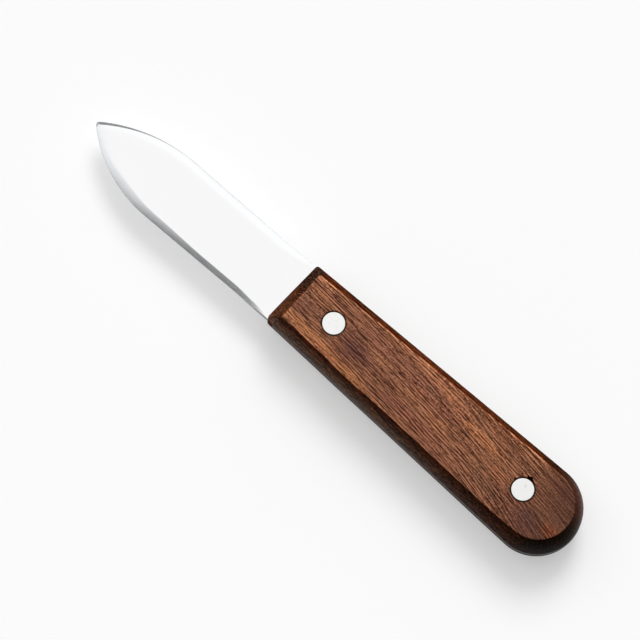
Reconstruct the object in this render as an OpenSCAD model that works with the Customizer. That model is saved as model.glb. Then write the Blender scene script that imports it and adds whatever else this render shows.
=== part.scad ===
// Oyster knife: a stiff double-edged steel blade with a full tang, between two wooden scales
// that two flush two-piece rivets clamp together.
// Millimetres. The knife lies on its side: X runs along it, with the point at -X, Y across the
// blade and Z through the handle. The origin is under the middle, on the face that it rests on.

/* [Handle] */
// Length of the handle, from its front to the round butt
handle_length = 100; // [85:1:120]
// Width of the handle at its front
front_width = 20.1; // [19.8:0.1:23.5]
// Radius of the round butt, which sets the handle's greatest width
butt_radius = 12.5; // [11.8:0.1:15]
// Thickness of each wooden scale
scale_thickness = 7; // [5.5:0.1:9]
// How far the rounded sides and butt draw in, from the steel to the flat face
side_draw_in = 2.7; // [1.5:0.1:3.5]
// How far the rounded front draws in, from its foremost corner to the flat face
front_draw_in = 3.2; // [2:0.1:4]
// Angle by which the front is cut off square, in degrees
front_skew = 2.8; // [0:0.1:4]
// Radius of the front's worn corner, on the -Y side
worn_corner_radius = 1.3; // [0.6:0.1:2]
// Radius of the front's crisp corner, on the +Y side
crisp_corner_radius = 0.5; // [0.3:0.1:1]

/* [Blade] */
// Length of the blade in front of the handle
blade_length = 70; // [55:1:85]
// Thickness of the steel, blade and tang alike
steel_thickness = 2; // [1.6:0.1:3]
// Width of the blade where it enters the handle
heel_width = 19.4; // [16:0.1:19.6]
// From the blade's middle line to its straighter edge, where the point's curve begins
straight_edge_reach = 9.5; // [8:0.1:10]
// From the blade's middle line to its fuller edge, where the point's curve begins
belly_reach = 10.6; // [8:0.1:11]
// Length of the curved point
point_length = 27; // [20:0.5:35]
// Radius of the blunt tip
tip_radius = 1.1; // [0.6:0.1:2]
// How far behind the front of the scales the tang takes its full width
shoulder_setback = 1.8; // [1.4:0.1:3]

/* [Ground edges] */
// Width of the grind along each edge
grind_width = 2.1; // [1:0.1:3]
// Thickness left at the edge
edge_thickness = 0.7; // [0.4:0.1:1.2]
// Length over which the grind runs out, in front of the handle
run_out_length = 13.5; // [8:0.5:20]
// How far behind the sharp point the two grinds meet
grind_meeting = 2.4; // [1.5:0.1:3.5]

/* [Rivets] */
// From the front of the handle to the front rivet
first_rivet_distance = 14.5; // [10:0.5:20]
// Distance between the two rivets
rivet_spacing = 67.4; // [50:0.2:70]
// Diameter of the rivet heads
head_diameter = 6.25; // [5:0.05:8]
// Thickness of the rivet heads
head_thickness = 1.8; // [1:0.1:2.5]
// Outside diameter of the sleeve
sleeve_diameter = 4; // [3.6:0.1:4.6]
// Diameter of the solid pin that is driven into the sleeve
pin_diameter = 2.8; // [2:0.1:3]
// How far the pin reaches below its head
pin_reach = 8.5; // [6:0.5:9]
// Room in the sleeve beyond the end of the pin
bore_end_room = 0.8; // [0.5:0.1:1]
// Gap between the end of the sleeve and the head of the pin
sleeve_end_gap = 0.4; // [0.2:0.1:0.8]
// Gap around the pin in the sleeve
pin_clearance = 0.02; // [0.01:0.01:0.05]
// Gap around the sleeve in the wood and the steel
sleeve_clearance = 0.1; // [0.05:0.05:0.3]
// Gap around the heads in the wood
head_clearance = 0.2; // [0.05:0.05:0.3]

/* [Hidden] */
$fn = 180;

// Room that a cutting solid has past what it cuts
past = 2;
// Longer than the knife, for solids that trim on one side only
far = 2 * (handle_length + blade_length);

// Places along the knife
butt_x = (handle_length + blade_length) / 2;
tip_x = -butt_x;
front_x = butt_x - handle_length;
butt_centre = butt_x - butt_radius;
shoulder_x = front_x + shoulder_setback;
belly_x = tip_x + point_length;
front_rivet_x = front_x + first_rivet_distance;
rear_rivet_x = front_rivet_x + rivet_spacing;

// Heights: the bottom scale, the steel and the top scale lie on each other
total_thickness = 2 * scale_thickness + steel_thickness;
middle_z = total_thickness / 2;

// Each side runs straight from the front's corner to where it touches the butt's circle
front_to_centre = butt_centre - front_x;
side_slope = asin(butt_radius / norm([front_to_centre, front_width / 2]))
    - atan2(front_width / 2, front_to_centre);

// The foremost place of the skewed front, at its worn corner
foremost_x = front_x - front_width / 2 * tan(front_skew);

// A round crosses the straight that it runs into by this much, so that it never only touches it
crossing = 0.02;

// The sharp point that the edges would run to, in front of the blunt tip
tip_half_angle = 2 * atan2((straight_edge_reach + belly_reach) / 2, point_length);
sharp_x = tip_x - tip_radius * (1 / sin(tip_half_angle) - 1);

// A wedge that opens wider than the edges blunts the tip, with so many flats round its nose
tip_wedge_angle = tip_half_angle + 8;
tip_flats = 20;

// How far down the grind cuts at the edge, and how far round the point it is carried
grind_depth = (steel_thickness - edge_thickness) / 2;
grind_sweep = 60;

// How far round the grind's straight and curved stretches run into each other, in degrees
grind_overlap = 3;

// Holes for the rivets, and where the sleeve, the pin and the bore end
head_hole_radius = head_diameter / 2 + head_clearance;
sleeve_hole_radius = sleeve_diameter / 2 + sleeve_clearance;
bore_radius = pin_diameter / 2 + pin_clearance;
pin_head_z = total_thickness - head_thickness;
sleeve_top_z = pin_head_z - sleeve_end_gap;
pin_end_z = pin_head_z - pin_reach;
bore_end_z = pin_end_z - bore_end_room;

// Radius of the arc that leaves a line at its start and along it, and ends at a point that
// lies so far along the line and so far to its side
function arc_radius(along, aside) = (along * along + aside * aside) / (2 * aside);

// The point that lies at the given distances along two directions
function meeting_point(a, a_distance, b, b_distance) =
    [a_distance * b.y - b_distance * a.y, a.x * b_distance - b.x * a_distance]
    / (a.x * b.y - a.y * b.x);

// An edge runs straight from the start of the point's curve to the heel. Its own frame has
// its origin at that start, +X along the edge to the heel, and +Y into the steel.
function edge_slope(reach) = atan2(reach - heel_width / 2, front_x - belly_x);
function edge_length(reach) = norm([front_x - belly_x, reach - heel_width / 2]);

// In an edge's frame, the radius of the arc that starts at a depth below the edge and ends at
// a place on the knife's middle line
function edge_arc_radius(reach, depth, x) =
    let (slope = edge_slope(reach), to_end = x - belly_x)
    arc_radius(
        to_end * cos(slope) + reach * sin(slope),
        reach * cos(slope) - to_end * sin(slope) - depth
    );
function point_grind_radius(reach) = edge_arc_radius(reach, grind_width, sharp_x + grind_meeting);

// Section of a scale that ends in its rounded side: X is the distance along the flat face and
// Y the height above the steel
module drawn_in_section(length, draw_in) {
    radius = arc_radius(scale_thickness, draw_in);
    intersection() {
        square([length, scale_thickness]);
        union() {
            square([max(length - radius, past), scale_thickness]);
            translate([length - radius, 0]) circle(radius);
        }
    }
}

// Carries its child, a section that reaches from the middle out to one side, along both
// straight sides of the handle and round its butt
module carried_round() {
    translate([butt_centre, 0, 0]) {
        for (flip = [0, 1]) mirror([0, flip, 0])
            rotate([0, 0, side_slope])
                translate([-handle_length, 0, 0])
                    rotate([90, 0, 90])
                        linear_extrude(handle_length) children();
        rotate([0, 0, -90 - side_slope])
            rotate_extrude(angle = 180 + 2 * side_slope) children();
    }
}

// What lies behind the rounded front
module front_keeper() {
    length = handle_length + 2 * past;
    translate([foremost_x + length, 0, 0])
        rotate([90, 0, 180])
            linear_extrude(far, center = true) drawn_in_section(length, front_draw_in);
}

// What the skewed cut takes off the front
module front_waste() {
    translate([front_x, 0, -past])
        rotate([0, 0, -front_skew])
            translate([-handle_length, -far / 2, 0])
                cube([handle_length, far, scale_thickness + 2 * past]);
}

// What the round of a front corner takes off; side is 1 on the +Y side and -1 on the -Y side
module corner_waste(side, radius) {
    inset = radius - crossing;
    front_normal = [-cos(front_skew), sin(front_skew)];
    side_normal = [-sin(side_slope), side * cos(side_slope)];
    centre = meeting_point(
        front_normal, front_normal * [front_x, 0] - inset,
        side_normal, side_normal * [front_x, side * front_width / 2] - inset
    );
    reach = radius + past;
    translate([centre.x, centre.y, -past])
        linear_extrude(scale_thickness + 2 * past)
            difference() {
                translate([-reach, side > 0 ? 0 : -reach]) square(reach);
                circle(radius);
            }
}

// The two stepped holes of a scale: the head lies in the wide part, at the flat face
module scale_holes() {
    for (x = [front_rivet_x, rear_rivet_x]) translate([x, 0, 0]) {
        translate([0, 0, -past]) cylinder(r = sleeve_hole_radius, h = scale_thickness + 2 * past);
        translate([0, 0, scale_thickness - head_thickness])
            cylinder(r = head_hole_radius, h = head_thickness + past);
    }
}

module handle_scale() {
    difference() {
        intersection() {
            carried_round() drawn_in_section(butt_radius, side_draw_in);
            front_keeper();
        }
        front_waste();
        corner_waste(1, crisp_corner_radius);
        corner_waste(-1, worn_corner_radius);
        scale_holes();
    }
}

module top_scale() {
    color("saddlebrown")
        translate([0, 0, middle_z + steel_thickness / 2]) handle_scale();
}

module bottom_scale() {
    color("saddlebrown")
        translate([0, 0, middle_z - steel_thickness / 2]) mirror([0, 0, 1]) handle_scale();
}

// Places its children in the frame of an edge; side is 1 on the +Y side and -1 on the -Y side
module on_edge(side, reach) {
    if (side > 0) mirror([0, 1, 0]) on_edge(-1, reach) children();
    else translate([belly_x, -reach, 0]) rotate([0, 0, edge_slope(reach)]) children();
}

// All that lies inside one edge, in the edge's frame, with the point's curve cut to an arc
module inside_edge(reach) {
    radius = edge_arc_radius(reach, 0, sharp_x);
    difference() {
        translate([-far / 2, 0, -steel_thickness / 2]) cube([far, far, steel_thickness]);
        translate([0, radius - crossing, 0]) difference() {
            translate([-far, -far, -past]) cube([far, far, 2 * past]);
            cylinder(r = radius, h = 3 * past, center = true);
        }
    }
}

// The wedge with a round nose that blunts the point
module tip_wedge() {
    turn = 90 - tip_wedge_angle;
    nose = [
        for (i = [0 : tip_flats])
        let (a = turn * (1 - 2 * i / tip_flats))
        [tip_x + tip_radius * (1 - cos(a)), tip_radius * sin(a)]
    ];
    wing = far * [cos(tip_wedge_angle), sin(tip_wedge_angle)];
    linear_extrude(steel_thickness + past, center = true)
        polygon(concat(
            [nose[0] + wing],
            nose,
            [nose[tip_flats] + [wing.x, -wing.y]]
        ));
}

// The blade before its edges are ground, as far as into the tang
module blade_blank() {
    length = shoulder_x + past - tip_x;
    intersection() {
        on_edge(1, straight_edge_reach) inside_edge(straight_edge_reach);
        on_edge(-1, belly_reach) inside_edge(belly_reach);
        tip_wedge();
        translate([tip_x, -far / 2, -past]) cube([length, far, 2 * past]);
    }
}

// The tang, which follows the sides and the butt of the scales
module tang() {
    translate([0, 0, -steel_thickness / 2]) intersection() {
        carried_round() square([butt_radius, steel_thickness]);
        translate([shoulder_x, -far / 2, -past]) cube([far, far, steel_thickness + 2 * past]);
    }
}

// Section of what the grind takes off the upper face: X is the depth inside the edge and Y
// the height above the steel's middle
module grind_section() {
    fall = grind_depth / grind_width;
    polygon([
        [-past, edge_thickness / 2 - past * fall], [grind_width, steel_thickness / 2],
        [grind_width, steel_thickness / 2 + past], [-past, steel_thickness / 2 + past]
    ]);
}

// The grind's cuts along one edge of the upper face follow, each in the edge's frame. This one
// goes straight along the edge, from the start of the point's curve to that of the run-out.
module straight_grind(reach) {
    overlap = point_grind_radius(reach) * sin(grind_overlap);
    length = edge_length(reach) - run_out_length;
    translate([-overlap, 0, 0]) rotate([90, 0, 90])
        linear_extrude(length + overlap) grind_section();
}

// The cut round the point
module point_grind(reach) {
    radius = point_grind_radius(reach);
    translate([0, grind_width + radius - crossing, 0])
        rotate([0, 0, -90 - grind_sweep])
            rotate_extrude(angle = grind_sweep)
                translate([radius + grind_width, 0]) mirror([1, 0]) grind_section();
}

// The cut that leaves the steel in front of the handle
module run_out_grind(reach) {
    radius = arc_radius(run_out_length, grind_width);
    sweep = asin(run_out_length / radius);
    translate([edge_length(reach) - run_out_length, grind_width - radius + crossing, 0])
        rotate([0, 0, 90 - sweep - grind_overlap])
            rotate_extrude(angle = sweep + 2 * grind_overlap)
                translate([radius - grind_width, 0]) grind_section();
}

// Places its two children, cuts for the straighter and the fuller edge, on both faces
module on_both_edges() {
    for (face = [0, 1]) mirror([0, 0, face]) {
        on_edge(1, straight_edge_reach) children(0);
        on_edge(-1, belly_reach) children(1);
    }
}

// The whole steel, ground along the straight stretches of its edges
module straight_ground() {
    difference() {
        union() {
            blade_blank();
            tang();
        }
        on_both_edges() {
            straight_grind(straight_edge_reach);
            straight_grind(belly_reach);
        }
    }
}

// The same, ground where the edges come to the handle too
module heel_ground() {
    difference() {
        straight_ground();
        on_both_edges() {
            run_out_grind(straight_edge_reach);
            run_out_grind(belly_reach);
        }
    }
}

module blade() {
    color("silver") translate([0, 0, middle_z]) difference() {
        heel_ground();
        on_both_edges() {
            point_grind(straight_edge_reach);
            point_grind(belly_reach);
        }
        for (x = [front_rivet_x, rear_rivet_x]) translate([x, 0, 0])
            cylinder(r = sleeve_hole_radius, h = steel_thickness + 2 * past, center = true);
    }
}

// Half of a rivet: a head in the bottom scale and a sleeve that stands up from it
module rivet_sleeve(x) {
    color("gainsboro") translate([x, 0, 0]) difference() {
        union() {
            cylinder(d = head_diameter, h = head_thickness);
            cylinder(d = sleeve_diameter, h = sleeve_top_z);
        }
        translate([0, 0, bore_end_z]) cylinder(r = bore_radius, h = sleeve_top_z);
    }
}

// Other half of a rivet: a head in the top scale and a pin that hangs down into the sleeve
module rivet_pin(x) {
    color("gainsboro") translate([x, 0, 0]) {
        translate([0, 0, pin_head_z]) cylinder(d = head_diameter, h = head_thickness);
        translate([0, 0, pin_end_z]) cylinder(d = pin_diameter, h = total_thickness - pin_end_z);
    }
}

module front_rivet_sleeve() { rivet_sleeve(front_rivet_x); }
module front_rivet_pin() { rivet_pin(front_rivet_x); }
module rear_rivet_sleeve() { rivet_sleeve(rear_rivet_x); }
module rear_rivet_pin() { rivet_pin(rear_rivet_x); }

blade();
top_scale();
bottom_scale();
front_rivet_sleeve();
front_rivet_pin();
rear_rivet_sleeve();
rear_rivet_pin();
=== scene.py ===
"""Oyster knife: one ground steel blade with a full tang, two oiled wooden scales, two flush rivets.

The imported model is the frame. Every piece is worked out here as a numpy surface in millimetres, in
the frame's own axes: X runs from the point (-X) to the butt (+X), Y across the knife and Z up
through the handle. The knife lies flat on the floor at Z = 0. Sizes are those of the part's source.
"""

import logging
import math
from collections.abc import Callable
from dataclasses import dataclass, field
from enum import Enum

import bmesh
import bpy
import numpy as np
from mathutils import Matrix, Vector
from numpy.typing import NDArray


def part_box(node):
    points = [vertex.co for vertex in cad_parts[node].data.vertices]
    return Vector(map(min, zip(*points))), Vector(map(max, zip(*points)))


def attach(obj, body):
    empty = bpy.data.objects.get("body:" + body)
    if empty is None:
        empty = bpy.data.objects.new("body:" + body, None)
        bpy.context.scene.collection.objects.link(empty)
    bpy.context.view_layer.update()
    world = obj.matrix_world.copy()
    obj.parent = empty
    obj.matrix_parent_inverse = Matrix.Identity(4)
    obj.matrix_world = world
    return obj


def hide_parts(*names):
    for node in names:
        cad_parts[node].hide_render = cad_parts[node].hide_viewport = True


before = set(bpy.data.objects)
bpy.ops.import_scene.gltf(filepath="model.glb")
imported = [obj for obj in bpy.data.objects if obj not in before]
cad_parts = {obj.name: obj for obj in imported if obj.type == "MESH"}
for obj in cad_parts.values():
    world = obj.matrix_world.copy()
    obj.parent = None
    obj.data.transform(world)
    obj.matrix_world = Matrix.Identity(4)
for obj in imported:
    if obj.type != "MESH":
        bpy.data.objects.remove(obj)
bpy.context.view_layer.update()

Grid = NDArray[np.float64]
# A colour, a direction, or a scale for each axis.
Triple = tuple[float, float, float]
# Two numbers that belong together, such as where a smooth step starts and where it ends.
Pair = tuple[float, float]
MILLIMETRE = 0.001
# Points of a mesh that lie this close, in metres, are one, and shorter edges vanish.
MERGED = 2e-6
VANISHING = 1e-7
# A ray's far end, past every outline, and how often the stretch up to it is halved.
RAY_REACH = 60.0
HALVINGS = 44
BODY = "root"
log = logging.getLogger("oyster_knife")


class Face(Enum):
    """The two faces of the knife, with the direction of each along Z."""

    TOP = 1
    BOTTOM = -1


class Station(Enum):
    """The two places of the rivets along the handle."""

    FRONT = "front"
    REAR = "rear"


class RivetHalf(Enum):
    """The two halves of a rivet, by the name of their node."""

    PIN = "pin"
    SLEEVE = "sleeve"


class Slot(Enum):
    """The record's material slots."""

    STEEL = "blade_steel"
    WOOD = "dark_wood"
    RIVET = "rivet_metal"


class Zone(Enum):
    """The parts of a scale's surface that a tone may lie on."""

    WHOLE = "whole"
    SIDES = "sides"
    FLAT = "flat"


# Numbers and fields


def ease(low: float, high: float, value: Grid) -> Grid:
    """Smooth step 3 t^2 - 2 t^3, where t is how far a value is from low to high, 0 to 1."""
    t = np.clip((value - low) / (high - low), 0.0, 1.0)
    return t * t * (3.0 - 2.0 * t)


def soft_least(first: Grid, second: Grid, blend: Grid | float) -> Grid:
    """Least of two fields, less (blend - difference)^2 / (4 blend) where they differ by less."""
    near = np.maximum(blend - np.abs(first - second), 0.0)
    return np.minimum(first, second) - near * near / (4.0 * blend)


def rounded_least(first: Grid, second: Grid, radius: Grid | float) -> Grid:
    """Depth inside two walls whose corner has a radius.

    Args:
        first: Depth inside one wall.
        second: Depth inside the other.
        radius: Radius of the corner between them.

    Returns:
        radius less the distance to the corner's centre, where both depths are under the radius, and
        the least of the two elsewhere.
    """
    a = radius - first
    b = radius - second
    corner = radius - np.hypot(a, b)
    return np.where((a > 0.0) & (b > 0.0), corner, np.minimum(first, second))


def drawn_in(radius: Grid | float, height: Grid) -> Grid:
    """How far an arc that starts upright has come in at a height: r - sqrt(r^2 - h^2)."""
    return radius - np.sqrt(np.maximum(radius * radius - height * height, 0.0))


def arc_through(along: float, aside: float) -> float:
    """Radius of the arc that leaves a line along it and ends so far along and aside."""
    return (along * along + aside * aside) / (2.0 * aside)


def column(*values: float) -> Grid:
    """The values as a column, which numpy sets against a row of rays."""
    return np.array(values)[:, None]


def spaced(*stretches: tuple[float, float, int]) -> Grid:
    """Values spaced evenly over stretches of (start, end, count), each without its end."""
    return np.concatenate([np.linspace(*stretch, endpoint=False) for stretch in stretches])


def front_fan(half: Grid) -> Grid:
    """Degrees from 90 through 180 to 270, from those below 180."""
    return np.concatenate((half, [180.0], 360.0 - half[::-1]))


def cosines(angles: Pair) -> Pair:
    """Cosines of two angles in degrees."""
    return math.cos(math.radians(angles[0])), math.cos(math.radians(angles[1]))


@dataclass(frozen=True)
class Rays:
    """Rays that leave the knife's middle line and cross its outline once each, in order round it.

    Attributes:
        start: Place along X of each ray's start.
        cosine: X part of each ray's direction.
        sine: Y part of each ray's direction.
    """

    start: Grid
    cosine: Grid
    sine: Grid

    @classmethod
    def around(cls, front: Grid, places: Grid, rear: Grid) -> "Rays":
        """Fans of rays at both ends and square rays between them, counter-clockwise from above.

        Args:
            front: Degrees of the front fan, from 90 through 180 to 270.
            places: Places of the square rays, from the front fan's centre to the rear fan's.
            rear: Degrees of the rear fan, from 270 through 360 to 450.

        Returns:
            The rays, each place once.
        """
        between = places[1:-1]
        square = np.ones(between.size)
        start = np.concatenate(
            (np.full(front.size, places[0]), between, np.full(rear.size, places[-1]), between[::-1])
        )
        angle = np.radians(np.concatenate((front, 270.0 * square, rear, 90.0 * square)))
        return cls(start, np.cos(angle), np.sin(angle))

    def at(self, distance: Grid) -> tuple[Grid, Grid]:
        """X and Y of the places that lie so far along each ray."""
        return self.start + distance * self.cosine, distance * self.sine

    def crossing(self, depth: Callable[[Grid, Grid], Grid], wanted: Grid) -> Grid:
        """Distance along each ray at which a depth falls to the wanted one, by halving.

        Args:
            depth: Depth inside the outline as a function of X and Y, for whole arrays.
            wanted: Depth to find, with one row for each level.

        Returns:
            The distances, rows by rays.
        """
        near = np.zeros(np.broadcast_shapes(wanted.shape, self.start.shape))
        beyond = np.full(near.shape, RAY_REACH)
        for _ in range(HALVINGS):
            middle = (near + beyond) / 2.0
            inside = depth(*self.at(middle)) > wanted
            near = np.where(inside, middle, near)
            beyond = np.where(inside, beyond, middle)
        return (near + beyond) / 2.0


# Meshes


def closed_mesh(name: str, points: Grid) -> bpy.types.Mesh:
    """Closed mesh over a grid whose columns run round and whose end rows lie folded shut.

    Args:
        name: Name of the mesh.
        points: Rows by columns by XYZ, in millimetres.

    Returns:
        The mesh, with its doubles merged and its normals outward.
    """
    rows, columns = points.shape[:2]
    index = np.arange(rows * columns).reshape(rows, columns)
    turned = np.roll(index, -1, axis=1)
    faces = np.stack((index[:-1], turned[:-1], turned[1:], index[1:]), axis=-1).reshape(-1, 4)
    mesh = bpy.data.meshes.new(name)
    mesh.from_pydata(points.reshape(-1, 3) * MILLIMETRE, [], faces)
    work = bmesh.new()
    work.from_mesh(mesh)
    bmesh.ops.remove_doubles(work, verts=work.verts, dist=MERGED)
    bmesh.ops.dissolve_degenerate(work, edges=work.edges, dist=VANISHING)
    bmesh.ops.recalc_face_normals(work, faces=work.faces)
    work.to_mesh(mesh)
    work.free()
    return mesh


def lathed_points(profile: Grid, centre: Pair, segments: int) -> Grid:
    """A profile carried round an upright axis: (cx + r cos a, cy + r sin a, z).

    Args:
        profile: Rows of radius and height. A closed piece's starts and ends on the axis.
        centre: X and Y of the axis.
        segments: How many columns go round.

    Returns:
        Rows by columns by XYZ.
    """
    angle = np.linspace(0.0, 2.0 * math.pi, segments, endpoint=False)
    x = centre[0] + profile[:, :1] * np.cos(angle)
    y = centre[1] + profile[:, :1] * np.sin(angle)
    return np.stack((x, y, np.broadcast_to(profile[:, 1:], x.shape)), axis=-1)


def add_piece(name: str, mesh: bpy.types.Mesh) -> bpy.types.Object:
    """Puts a mesh into the scene as an object at the origin."""
    piece = bpy.data.objects.new(name, mesh)
    bpy.context.scene.collection.objects.link(piece)
    return piece


def carve(piece: bpy.types.Object, cutters: list[bpy.types.Mesh]) -> None:
    """Takes closed cutters off a piece, one after the other.

    Args:
        piece: What is cut.
        cutters: Meshes in the piece's own place. They are removed afterwards.
    """
    for cutter in cutters:
        tool = add_piece("cutter", cutter)
        cut = piece.modifiers.new("cut", "BOOLEAN")
        cut.operation = "DIFFERENCE"
        cut.solver = "EXACT"
        cut.object = tool
        bpy.context.view_layer.update()
        graph = bpy.context.evaluated_depsgraph_get()
        result = bpy.data.meshes.new_from_object(piece.evaluated_get(graph))
        piece.modifiers.clear()
        piece.data = result
        bpy.data.objects.remove(tool)
        bpy.data.meshes.remove(cutter)


def shade(piece: bpy.types.Object, sharp_angle: float) -> None:
    """Smooth shading, with edges over an angle in degrees kept sharp."""
    piece.data.shade_smooth()
    piece.data.set_sharp_from_angle(angle=math.radians(sharp_angle))


def dress(piece: bpy.types.Object, node: str, finish: bpy.types.Material) -> None:
    """Gives a piece its finish, the node that it stands for and its body.

    Args:
        piece: The finished object.
        node: The CAD node that it replaces.
        finish: Its material.
    """
    piece.data.materials.clear()
    piece.data.materials.append(finish)
    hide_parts(node)
    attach(piece, BODY)
    log.info("%s: %d faces, stands for %s", piece.name, len(piece.data.polygons), node)


# Shader work


def math_method(
    operation: str, reflected: bool = False
) -> Callable[["Wire", "Wire | float"], "Wire"]:
    """A method of Wire that puts two values through a Math node.

    Args:
        operation: The node's operation.
        reflected: Whether the other value comes first.

    Returns:
        The method.
    """

    def method(self: "Wire", other: "Wire | float") -> "Wire":
        """The output of the Math node."""
        return self.calculated(operation, *((other, self) if reflected else (self, other)))

    return method


class Wire:
    """One output of a node. Arithmetic on it, from either side, adds Math nodes to its bench."""

    def __init__(self, bench: "Bench", socket: bpy.types.NodeSocket) -> None:
        """Keeps the bench and the output socket."""
        self.bench = bench
        self.socket = socket

    def calculated(self, operation: str, *values: "Wire | float") -> "Wire":
        """A Math node on the given values, in their order."""
        sockets = dict(enumerate(values))
        return self.bench.node("ShaderNodeMath", {"operation": operation}, sockets)

    __add__ = __radd__ = math_method("ADD")
    __sub__ = math_method("SUBTRACT")
    __rsub__ = math_method("SUBTRACT", reflected=True)
    __mul__ = __rmul__ = math_method("MULTIPLY")
    __truediv__ = math_method("DIVIDE")
    __rtruediv__ = math_method("DIVIDE", reflected=True)
    least = math_method("MINIMUM")
    most = math_method("MAXIMUM")

    def __abs__(self) -> "Wire":
        """Size without its sign."""
        return self.calculated("ABSOLUTE", self)

    def hypotenuse(self, other: "Wire") -> "Wire":
        """Square root of the sum of both squares."""
        return self.calculated("SQRT", self * self + other * other)

    def step(self, low: float, high: float) -> "Wire":
        """Smooth step from 0 at low to 1 at high; low may be the greater one."""
        return self.bench.node(
            "ShaderNodeMapRange",
            {"interpolation_type": "SMOOTHSTEP"},
            {"Value": self, "From Min": low, "From Max": high},
        )


class Bench:
    """The node tree of one material or world."""

    def __init__(self, tree: bpy.types.NodeTree) -> None:
        """Empties the tree and starts on it."""
        self.tree = tree
        tree.nodes.clear()

    @classmethod
    def for_material(cls, name: str) -> tuple["Bench", bpy.types.Material]:
        """A bench on a new material, and that material."""
        material = bpy.data.materials.new(name)
        material.use_nodes = True
        return cls(material.node_tree), material

    def node(
        self,
        kind: str,
        settings: dict[str, object] | None = None,
        sockets: dict[str | int, object] | None = None,
        output: str | int = 0,
    ) -> Wire:
        """Adds a node.

        Args:
            kind: The node's type.
            settings: Its settings, which are set first. "stops" are a ramp's places and colours.
            sockets: Values or wires for its inputs, by name or number.
            output: Which output to give back.

        Returns:
            That output.
        """
        made = self.tree.nodes.new(kind)
        for key, value in (settings or {}).items():
            if key == "stops":
                self._set_stops(made.color_ramp.elements, value)
            else:
                setattr(made, key, value)
        for key, value in (sockets or {}).items():
            if isinstance(value, Wire):
                self.tree.links.new(value.socket, made.inputs[key])
            else:
                made.inputs[key].default_value = value
        return Wire(self, made.outputs[output] if len(made.outputs) else None)

    @staticmethod
    def _set_stops(elements: bpy.types.bpy_prop_collection, stops: list) -> None:
        """Gives a ramp its stops, each a place and a colour."""
        while len(elements) < len(stops):
            elements.new(1.0)
        for element, (place, colour) in zip(elements, stops, strict=True):
            element.position = place
            element.color = (*colour, 1.0)

    def millimetres(self) -> Wire:
        """Object coordinates in millimetres."""
        place = self.node("ShaderNodeTexCoord", output="Object")
        return self.stretched(place, (1000.0, 1000.0, 1000.0))

    def facing_up(self) -> Wire:
        """How level the surface lies: 1 facing up or down, 0 upright."""
        normal = self.node("ShaderNodeNewGeometry", output="True Normal")
        return abs(self.parts(normal)[2])

    def stretched(self, place: Wire, scale: Triple) -> Wire:
        """A place with each of its parts multiplied."""
        return self.node("ShaderNodeVectorMath", {"operation": "MULTIPLY"}, {0: place, 1: scale})

    def towards(self, direction: Wire, aim: Triple) -> Wire:
        """Cosine of the angle between a direction and a fixed one."""
        settings = {"operation": "DOT_PRODUCT"}
        return self.node("ShaderNodeVectorMath", settings, {0: direction, 1: aim}, "Value")

    def parts(self, place: Wire) -> tuple[Wire, Wire, Wire]:
        """X, Y and Z of a place."""
        split = self.node("ShaderNodeSeparateXYZ", sockets={0: place}).socket.node
        return tuple(Wire(self, socket) for socket in split.outputs)

    def joined(self, x: Wire | float, y: Wire | float, z: Wire | float) -> Wire:
        """A place from its three parts."""
        return self.node("ShaderNodeCombineXYZ", sockets={0: x, 1: y, 2: z})

    def grey(self, value: Wire) -> Wire:
        """A grey of a value."""
        return self.joined(value, value, value)

    def noise(self, place: Wire, scale: Triple, detail: float, roughness: float = 0.5) -> Wire:
        """Noise around 0.5, stretched by a scale for each axis."""
        sockets = {"Vector": self.stretched(place, scale), "Scale": 1.0}
        sockets |= {"Detail": detail, "Roughness": roughness}
        return self.node("ShaderNodeTexNoise", {"noise_dimensions": "3D"}, sockets, "Fac")

    def cells(self, place: Wire, scale: Triple) -> Wire:
        """Distance to the nearest of scattered points, stretched by a scale for each axis."""
        sockets = {"Vector": self.stretched(place, scale), "Scale": 1.0, "Randomness": 1.0}
        return self.node("ShaderNodeTexVoronoi", {"feature": "F1"}, sockets, "Distance")

    def mixed(
        self, factor: Wire | float, first: Wire | Triple, second: Wire | Triple, way: str = "MIX"
    ) -> Wire:
        """Two colours through a Mix node.

        Args:
            factor: 0 for the first colour, 1 for the second or for the way's full effect.
            first: A colour.
            second: Another colour.
            way: The Mix node's blend type.

        Returns:
            The mixed colour.
        """
        settings = {"data_type": "RGBA", "blend_type": way, "clamp_factor": True}
        sockets = {0: factor, 6: first, 7: second}
        padded = {k: (*v, 1.0) if isinstance(v, tuple) else v for k, v in sockets.items()}
        return self.node("ShaderNodeMix", settings, padded, 2)

    def tinted(
        self, colour: Wire | Triple, tones: list[tuple[Wire | float, Wire | Triple]]
    ) -> Wire:
        """A colour multiplied by one tint after the other, each as far as its mask says.

        Args:
            colour: The colour to start from.
            tones: Masks with their tints.

        Returns:
            The tinted colour.
        """
        for mask, tint in tones:
            colour = self.mixed(mask, colour, tint, "MULTIPLY")
        return colour

    def bump(self, height: Wire, strength: float, distance: float) -> Wire:
        """Normal bumped by a height; the distance is in metres."""
        sockets = {"Height": height, "Strength": strength, "Distance": distance}
        return self.node("ShaderNodeBump", sockets=sockets)


# Finishes

# How far from the steel's middle the sides of the scales pass into their flat faces.
FLAT_FACE: Pair = (7.88, 7.96)


class Finish:
    """What a piece is made of. Each kind of finish works out its own sockets."""

    def sockets(self, bench: Bench, place: Wire) -> dict[str, object]:
        """Values and wires for the Principled shader of this finish.

        Args:
            bench: The material's bench.
            place: Where a point of the surface lies, in millimetres.

        Returns:
            The values and wires, by the name of their socket.
        """
        raise NotImplementedError

    def material(self, name: str) -> bpy.types.Material:
        """A new material with this finish.

        Args:
            name: Name of the material.

        Returns:
            The material, which ends in one Principled shader.
        """
        bench, material = Bench.for_material(name)
        shader = bench.node(
            "ShaderNodeBsdfPrincipled", sockets=self.sockets(bench, bench.millimetres())
        )
        bench.node("ShaderNodeOutputMaterial", sockets={"Surface": shader})
        return material


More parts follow.
